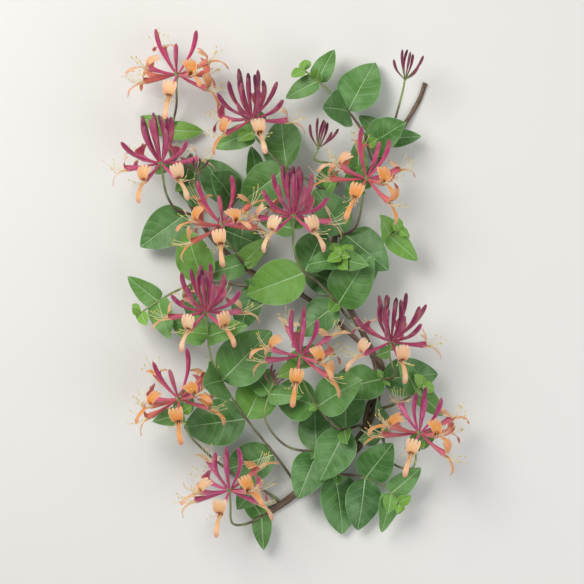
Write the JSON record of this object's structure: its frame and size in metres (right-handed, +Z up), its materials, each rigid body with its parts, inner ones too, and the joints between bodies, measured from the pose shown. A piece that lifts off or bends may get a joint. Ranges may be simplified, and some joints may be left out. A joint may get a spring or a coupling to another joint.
{
  "type": "honeysuckle vine",
  "caption": "Cut length of honeysuckle vine in flower: twining woody stems with paired leaves and heads of slender buds and two-lipped flowers, lying on its underside.",
  "frame": {"origin": "middle of the underside of the whole vine, on the surface that it lies on", "axes": "+Y from the cut end of the stem toward the growing tips, +Z up through the leaves and flowers, +X to the right as seen from above with the tips away from the viewer"},
  "size_m": [0.3169, 0.4593, 0.1004],
  "materials": {
    "bark": "rough, matt and stringy",
    "leaf": "soft satin with a waxy bloom",
    "young": "satin, fine-grained",
    "fresh": "satin, fine-grained",
    "full": "satin, fine-grained",
    "late": "satin, fine-grained",
    "tight": "satin, fine-grained"
  },
  "bodies": {
    "root": {"woody_stem": "bark", "leafy_shoot_a": "leaf", "leafy_shoot_b": "leaf", "leafy_shoot_c": "leaf", "leafy_shoot_d": "leaf", "leafy_shoot_e": "leaf", "leafy_shoot_f": "leaf", "leafy_shoot_g": "leaf", "leafy_shoot_h": "leaf", "leafy_shoot_i": "leaf", "leafy_shoot_j": "leaf", "leafy_shoot_k": "leaf", "leafy_shoot_l": "leaf", "leafy_shoot_m": "leaf", "leafy_shoot_n": "leaf", "leafy_shoot_o": "leaf", "leafy_shoot_p": "leaf", "leafy_shoot_q": "leaf", "leafy_shoot_r": "leaf", "leafy_shoot_s": "leaf", "leafy_shoot_t": "leaf", "leafy_shoot_u": "leaf", "leafy_shoot_v": "leaf", "leafy_shoot_w": "leaf", "bloom_a": "fresh", "bloom_b": "fresh", "bloom_c": "late", "bloom_d": "late", "bloom_e": "full", "bloom_f": "young", "bloom_g": "young", "bloom_h": "fresh", "bloom_i": "full", "bloom_j": "full", "bloom_k": "late", "bloom_l": "late", "bloom_m": "tight", "bloom_n": "tight", "bloom_o": "tight", "bloom_p": "tight"}
  },
  "joints": []
}
